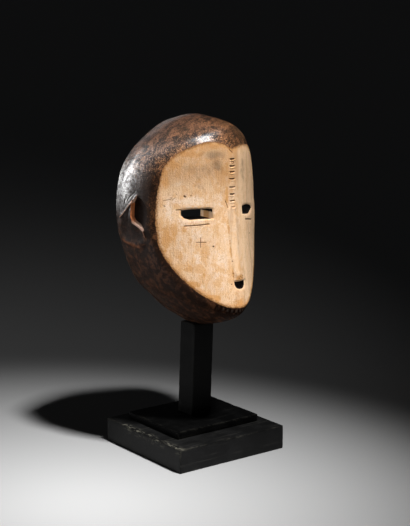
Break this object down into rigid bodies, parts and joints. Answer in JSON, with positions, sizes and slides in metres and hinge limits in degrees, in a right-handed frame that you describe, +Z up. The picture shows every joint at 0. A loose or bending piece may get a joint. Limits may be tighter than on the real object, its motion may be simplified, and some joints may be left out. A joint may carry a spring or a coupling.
{
  "type": "ngbaka mask on a display stand",
  "caption": "Carved wooden face mask, hollow behind, with pierced eyes and mouth, notched brow ridge and carved ears, held upright on a square post, plate and plinth block.",
  "frame": {"origin": "middle of the plinth block's underside, on the surface it stands on", "axes": "+Z up; the mask looks along -Y; +X is the mask's own left side"},
  "size_m": [0.1732, 0.1541, 0.392],
  "materials": {
    "carved_wood": "old carved hardwood: pale rubbed face, dark glossy patina on crown and sides",
    "stand_wood": "black stained wood, satin, rubbed at the edges"
  },
  "bodies": {
    "root": {"mask": "carved_wood", "stand_post": "stand_wood", "stand_plate": "stand_wood", "stand_block": "stand_wood"}
  },
  "joints": []
}
